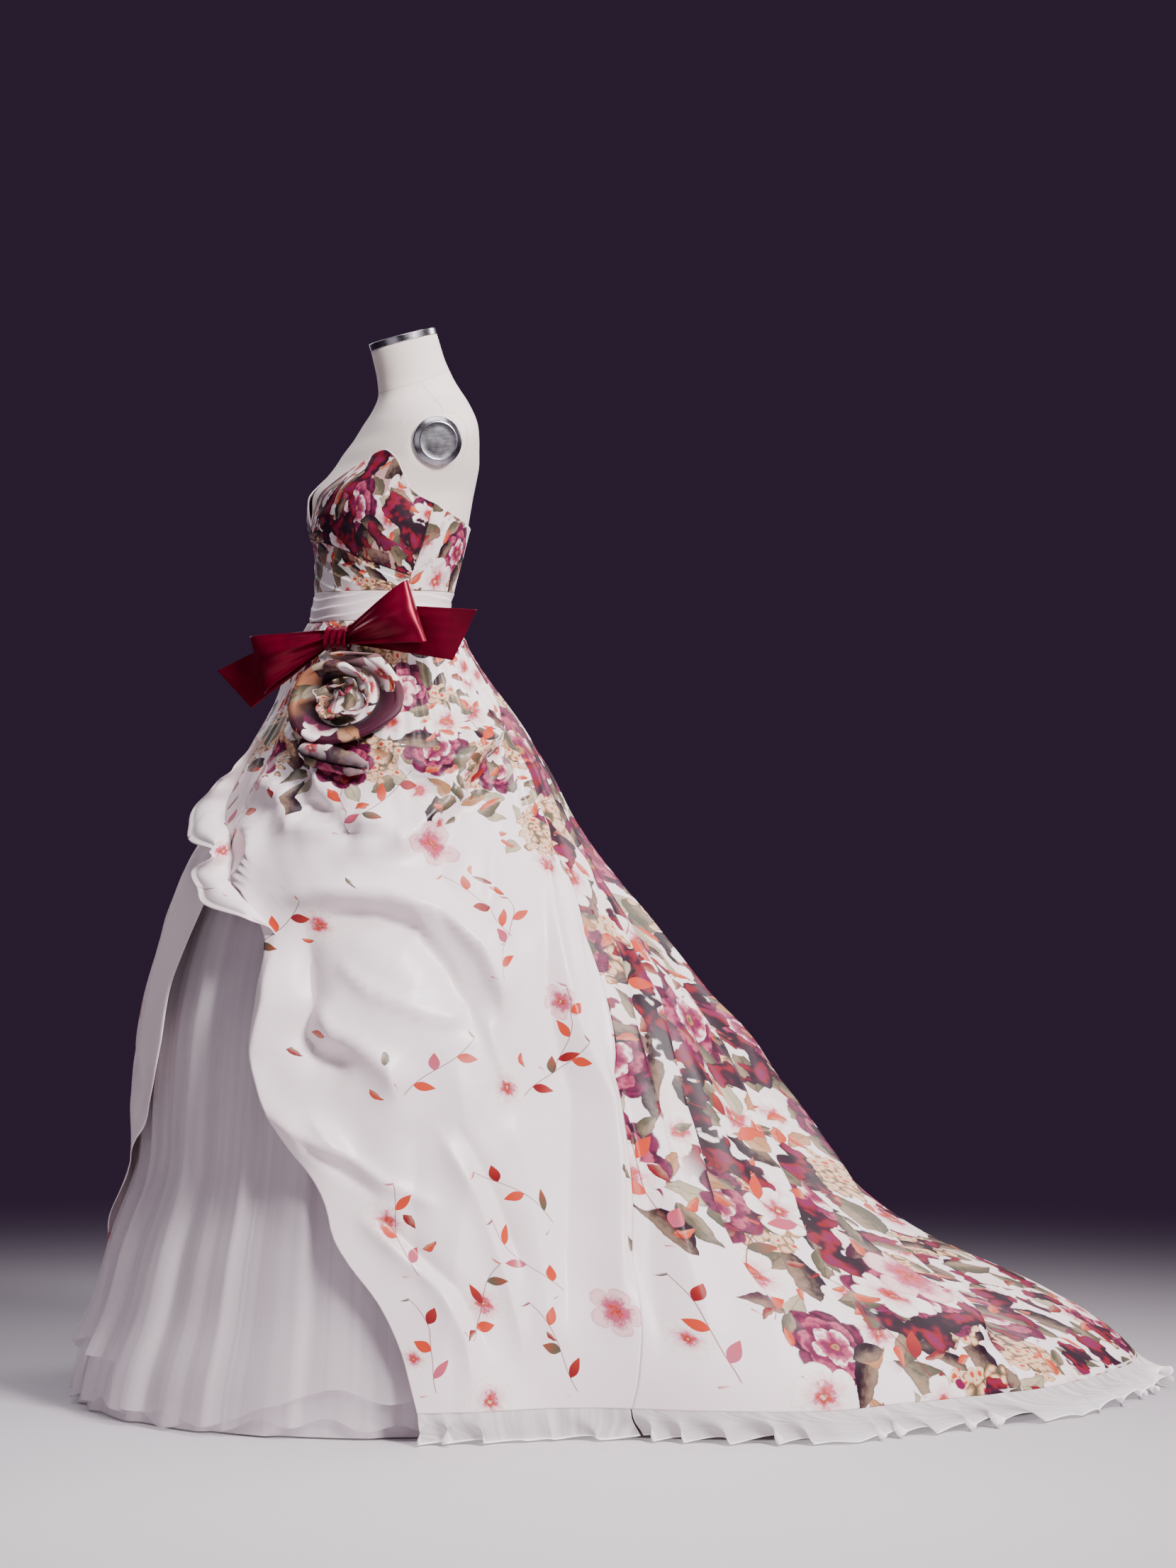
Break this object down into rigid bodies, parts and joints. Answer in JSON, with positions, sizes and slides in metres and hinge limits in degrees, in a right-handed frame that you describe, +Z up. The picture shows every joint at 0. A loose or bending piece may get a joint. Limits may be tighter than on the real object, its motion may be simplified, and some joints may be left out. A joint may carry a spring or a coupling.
{
  "type": "ball gown on a dress form",
  "caption": "Strapless ball gown with an open overskirt, pleated tulle, a satin bow, a rosette and a long train, on a limbless dress form with a pole and a round base.",
  "frame": {"origin": "on the floor, at the centre of the stand's base, under the pole", "axes": "+Z up, -Y the way the form faces, +X its left; the train lies towards +Y"},
  "size_m": [1.3385, 1.7812, 1.6847],
  "materials": {
    "form_cover": "plain woven cover, matt",
    "steel": "turned and brushed",
    "stand": "grey paint, satin",
    "print_silk": "silk satin with a dense flower print",
    "white_silk": "white silk with sparse sprigs",
    "tulle": "fine white net, translucent",
    "organza": "sheer white organza, crisp",
    "satin": "deep red satin"
  },
  "bodies": {
    "root": {"form_torso": "form_cover", "form_neck_cap": "steel", "form_arm_plate_left": "steel", "form_arm_plate_right": "steel", "stand_base": "stand", "stand_pole": "stand", "bodice_cup_left": "print_silk", "bodice_cup_right": "print_silk", "bodice_back_left": "print_silk", "bodice_back_right": "print_silk", "bodice_midriff": "print_silk", "waist_band": "white_silk", "overskirt_left": "white_silk", "overskirt_right": "white_silk", "train_left": "print_silk", "train_centre": "print_silk", "train_right": "print_silk", "organza_petticoat": "organza", "tulle_inner": "tulle", "tulle_outer": "tulle", "hem_frill_left": "organza", "hem_frill_train": "organza", "hem_frill_right": "organza", "rosette": "print_silk", "rosette_tail": "print_silk", "front_cascade": "white_silk", "bow_knot": "satin", "bow_loop_left": "satin", "bow_loop_right": "satin", "bow_tail_left": "satin", "bow_tail_right": "satin"}
  },
  "joints": []
}
